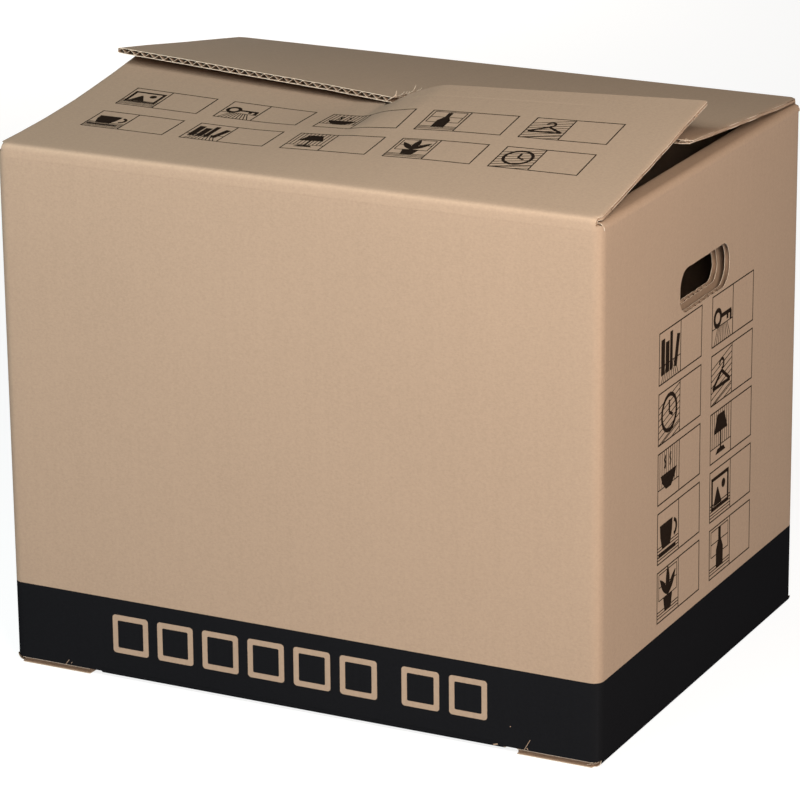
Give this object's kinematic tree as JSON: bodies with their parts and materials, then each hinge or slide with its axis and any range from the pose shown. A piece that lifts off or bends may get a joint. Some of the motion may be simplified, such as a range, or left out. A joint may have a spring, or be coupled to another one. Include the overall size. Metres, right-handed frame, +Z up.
{
  "type": "moving box",
  "caption": "Corrugated cardboard moving box, closed with interlocking top flaps, with folded double side rims and grip holes.",
  "frame": {"origin": "middle of the box's footprint, on the surface that it stands on", "axes": "+X to the box's right along its longer side, +Y from the front wall to the rear wall, +Z up"},
  "size_m": [0.463, 0.353, 0.425],
  "materials": {
    "kraft_board": "matt brown kraft liner, single-wall corrugated board"
  },
  "bodies": {
    "root": {"carton": "kraft_board"}
  },
  "joints": []
}
